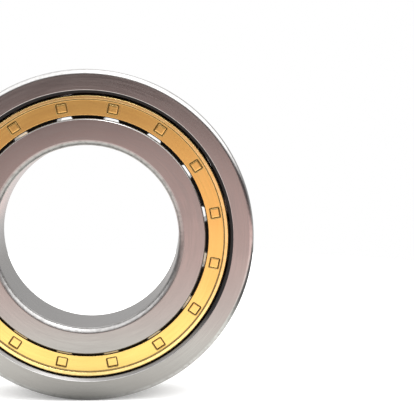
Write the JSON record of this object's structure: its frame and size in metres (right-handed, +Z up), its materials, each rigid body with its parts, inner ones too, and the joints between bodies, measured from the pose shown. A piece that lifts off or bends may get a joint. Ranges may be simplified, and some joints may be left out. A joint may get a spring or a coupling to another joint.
{
  "type": "cylindrical roller bearing",
  "caption": "Single-row cylindrical roller bearing: flanged steel rings, cylindrical rollers and a riveted two-piece brass cage around a round bore.",
  "frame": {"origin": "middle of the bearing: on its axis, halfway across its width", "axes": "+Y along the bearing's axis, away from the inner ring's flanged side; +Z up, 0.7 degrees from the middle of roller_01"},
  "size_m": [0.1, 0.021, 0.1],
  "materials": {
    "ring_steel": "ground and honed bearing steel",
    "roller_steel": "superfinished bearing steel",
    "cage_brass": "turned and milled brass"
  },
  "bodies": {
    "outer_ring": {"outer_ring": "ring_steel"},
    "inner_ring": {"inner_ring": "ring_steel"},
    "cage": {"cage_comb": "cage_brass", "cage_cover": "cage_brass"},
    "roller_01": {"roller_01": "roller_steel"},
    "roller_02": {"roller_02": "roller_steel"},
    "roller_03": {"roller_03": "roller_steel"},
    "roller_04": {"roller_04": "roller_steel"},
    "roller_05": {"roller_05": "roller_steel"},
    "roller_06": {"roller_06": "roller_steel"},
    "roller_07": {"roller_07": "roller_steel"},
    "roller_08": {"roller_08": "roller_steel"},
    "roller_09": {"roller_09": "roller_steel"},
    "roller_10": {"roller_10": "roller_steel"},
    "roller_11": {"roller_11": "roller_steel"},
    "roller_12": {"roller_12": "roller_steel"},
    "roller_13": {"roller_13": "roller_steel"},
    "roller_14": {"roller_14": "roller_steel"},
    "roller_15": {"roller_15": "roller_steel"},
    "roller_16": {"roller_16": "roller_steel"}
  },
  "joints": [
    {"name": "inner_ring_spin", "type": "hinge", "parent": "outer_ring", "child": "inner_ring", "pos_m": [0, 0, 0], "axis": [0, 1, 0], "continuous": true},
    {"name": "cage_orbit", "type": "hinge", "parent": "outer_ring", "child": "cage", "pos_m": [0, 0, 0], "axis": [0, 1, 0], "continuous": true},
    {"name": "roller_01_spin", "type": "hinge", "parent": "cage", "child": "roller_01", "pos_m": [0.00048, 0, 0.039], "axis": [0, 1, 0], "continuous": true},
    {"name": "roller_02_spin", "type": "hinge", "parent": "cage", "child": "roller_02", "pos_m": [0.01536, 0, 0.03585], "axis": [0, 1, 0], "continuous": true},
    {"name": "roller_03_spin", "type": "hinge", "parent": "cage", "child": "roller_03", "pos_m": [0.02791, 0, 0.02724], "axis": [0, 1, 0], "continuous": true},
    {"name": "roller_04_spin", "type": "hinge", "parent": "cage", "child": "roller_04", "pos_m": [0.03621, 0, 0.01448], "axis": [0, 1, 0], "continuous": true},
    {"name": "roller_05_spin", "type": "hinge", "parent": "cage", "child": "roller_05", "pos_m": [0.039, 0, -0.00048], "axis": [0, 1, 0], "continuous": true},
    {"name": "roller_06_spin", "type": "hinge", "parent": "cage", "child": "roller_06", "pos_m": [0.03585, 0, -0.01536], "axis": [0, 1, 0], "continuous": true},
    {"name": "roller_07_spin", "type": "hinge", "parent": "cage", "child": "roller_07", "pos_m": [0.02724, 0, -0.02791], "axis": [0, 1, 0], "continuous": true},
    {"name": "roller_08_spin", "type": "hinge", "parent": "cage", "child": "roller_08", "pos_m": [0.01448, 0, -0.03621], "axis": [0, 1, 0], "continuous": true},
    {"name": "roller_09_spin", "type": "hinge", "parent": "cage", "child": "roller_09", "pos_m": [-0.00048, 0, -0.039], "axis": [0, 1, 0], "continuous": true},
    {"name": "roller_10_spin", "type": "hinge", "parent": "cage", "child": "roller_10", "pos_m": [-0.01536, 0, -0.03585], "axis": [0, 1, 0], "continuous": true},
    {"name": "roller_11_spin", "type": "hinge", "parent": "cage", "child": "roller_11", "pos_m": [-0.02791, 0, -0.02724], "axis": [0, 1, 0], "continuous": true},
    {"name": "roller_12_spin", "type": "hinge", "parent": "cage", "child": "roller_12", "pos_m": [-0.03621, 0, -0.01448], "axis": [0, 1, 0], "continuous": true},
    {"name": "roller_13_spin", "type": "hinge", "parent": "cage", "child": "roller_13", "pos_m": [-0.039, 0, 0.00048], "axis": [0, 1, 0], "continuous": true},
    {"name": "roller_14_spin", "type": "hinge", "parent": "cage", "child": "roller_14", "pos_m": [-0.03585, 0, 0.01536], "axis": [0, 1, 0], "continuous": true},
    {"name": "roller_15_spin", "type": "hinge", "parent": "cage", "child": "roller_15", "pos_m": [-0.02724, 0, 0.02791], "axis": [0, 1, 0], "continuous": true},
    {"name": "roller_16_spin", "type": "hinge", "parent": "cage", "child": "roller_16", "pos_m": [-0.01448, 0, 0.03621], "axis": [0, 1, 0], "continuous": true}
  ],
  "couplings": [
    {"joint": "cage_orbit", "follows": "inner_ring_spin", "ratio": 0.42308},
    {"joint": "roller_01_spin", "follows": "inner_ring_spin", "ratio": -3.1731},
    {"joint": "roller_02_spin", "follows": "inner_ring_spin", "ratio": -3.1731},
    {"joint": "roller_03_spin", "follows": "inner_ring_spin", "ratio": -3.1731},
    {"joint": "roller_04_spin", "follows": "inner_ring_spin", "ratio": -3.1731},
    {"joint": "roller_05_spin", "follows": "inner_ring_spin", "ratio": -3.1731},
    {"joint": "roller_06_spin", "follows": "inner_ring_spin", "ratio": -3.1731},
    {"joint": "roller_07_spin", "follows": "inner_ring_spin", "ratio": -3.1731},
    {"joint": "roller_08_spin", "follows": "inner_ring_spin", "ratio": -3.1731},
    {"joint": "roller_09_spin", "follows": "inner_ring_spin", "ratio": -3.1731},
    {"joint": "roller_10_spin", "follows": "inner_ring_spin", "ratio": -3.1731},
    {"joint": "roller_11_spin", "follows": "inner_ring_spin", "ratio": -3.1731},
    {"joint": "roller_12_spin", "follows": "inner_ring_spin", "ratio": -3.1731},
    {"joint": "roller_13_spin", "follows": "inner_ring_spin", "ratio": -3.1731},
    {"joint": "roller_14_spin", "follows": "inner_ring_spin", "ratio": -3.1731},
    {"joint": "roller_15_spin", "follows": "inner_ring_spin", "ratio": -3.1731},
    {"joint": "roller_16_spin", "follows": "inner_ring_spin", "ratio": -3.1731}
  ]
}
